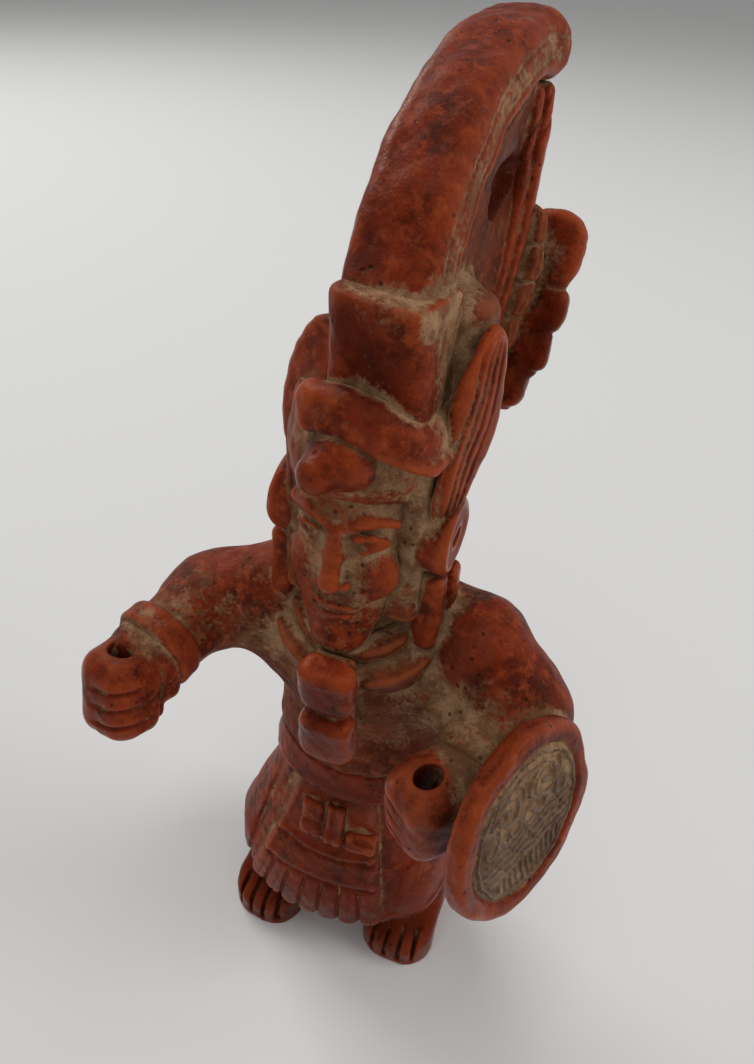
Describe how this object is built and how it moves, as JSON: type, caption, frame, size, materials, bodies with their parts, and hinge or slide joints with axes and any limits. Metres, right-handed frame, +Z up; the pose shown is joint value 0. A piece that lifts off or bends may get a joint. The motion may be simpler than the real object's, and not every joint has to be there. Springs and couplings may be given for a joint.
{
  "type": "fired clay warrior figurine",
  "caption": "Hand-modelled red clay warrior in a tall arched plume headdress, with a round shield on one arm and pierced fists for staffs.",
  "frame": {"origin": "centre of the bottom of the bounding box, on the table under the figure", "axes": "+Z up, the figure faces -Y, its own left side (with the shield) is towards +X"},
  "size_m": [0.1212, 0.1202, 0.25],
  "materials": {
    "clay_red": "burnished fired clay, slight satin sheen, worn orange on the high places and maroon mottling",
    "clay_dusty": "matt fired clay under a film of tan dust",
    "clay_grey": "matt grey-brown fired clay with pale dust in the relief"
  },
  "bodies": {
    "root": {"apron": "clay_red", "beak_knob": "clay_red", "beard_strip": "clay_red", "belt": "clay_red", "bracelet_left": "clay_red", "bracelet_right": "clay_red", "cap": "clay_red", "chest_drop_lower": "clay_red", "chest_drop_upper": "clay_red", "collar": "clay_dusty", "crest_inner_roll": "clay_dusty", "crest_plume": "clay_red", "crest_tip": "clay_red", "crown_core": "clay_dusty", "ear_pendant_left": "clay_red", "ear_pendant_right": "clay_red", "ear_spool_left": "clay_red", "ear_spool_right": "clay_red", "face": "clay_red", "fist_left": "clay_red", "fist_right": "clay_red", "foot_left": "clay_red", "foot_right": "clay_red", "forearm_left": "clay_red", "forearm_right": "clay_red", "head_core": "clay_dusty", "headband": "clay_red", "leg_left": "clay_red", "leg_right": "clay_red", "lobe_feathers": "clay_red", "neck": "clay_dusty", "neck_band": "clay_dusty", "plume_web": "clay_dusty", "rear_plume": "clay_red", "sash_tab_1": "clay_red", "sash_tab_2": "clay_red", "sash_tab_3": "clay_red", "scale_feathers": "clay_dusty", "shield_disc": "clay_grey", "shield_relief": "clay_grey", "shield_rim": "clay_red", "side_wing_left": "clay_red", "side_wing_right": "clay_red", "skirt": "clay_red", "torso": "clay_dusty", "upper_arm_left": "clay_red", "upper_arm_right": "clay_red", "visor": "clay_red"}
  },
  "joints": []
}
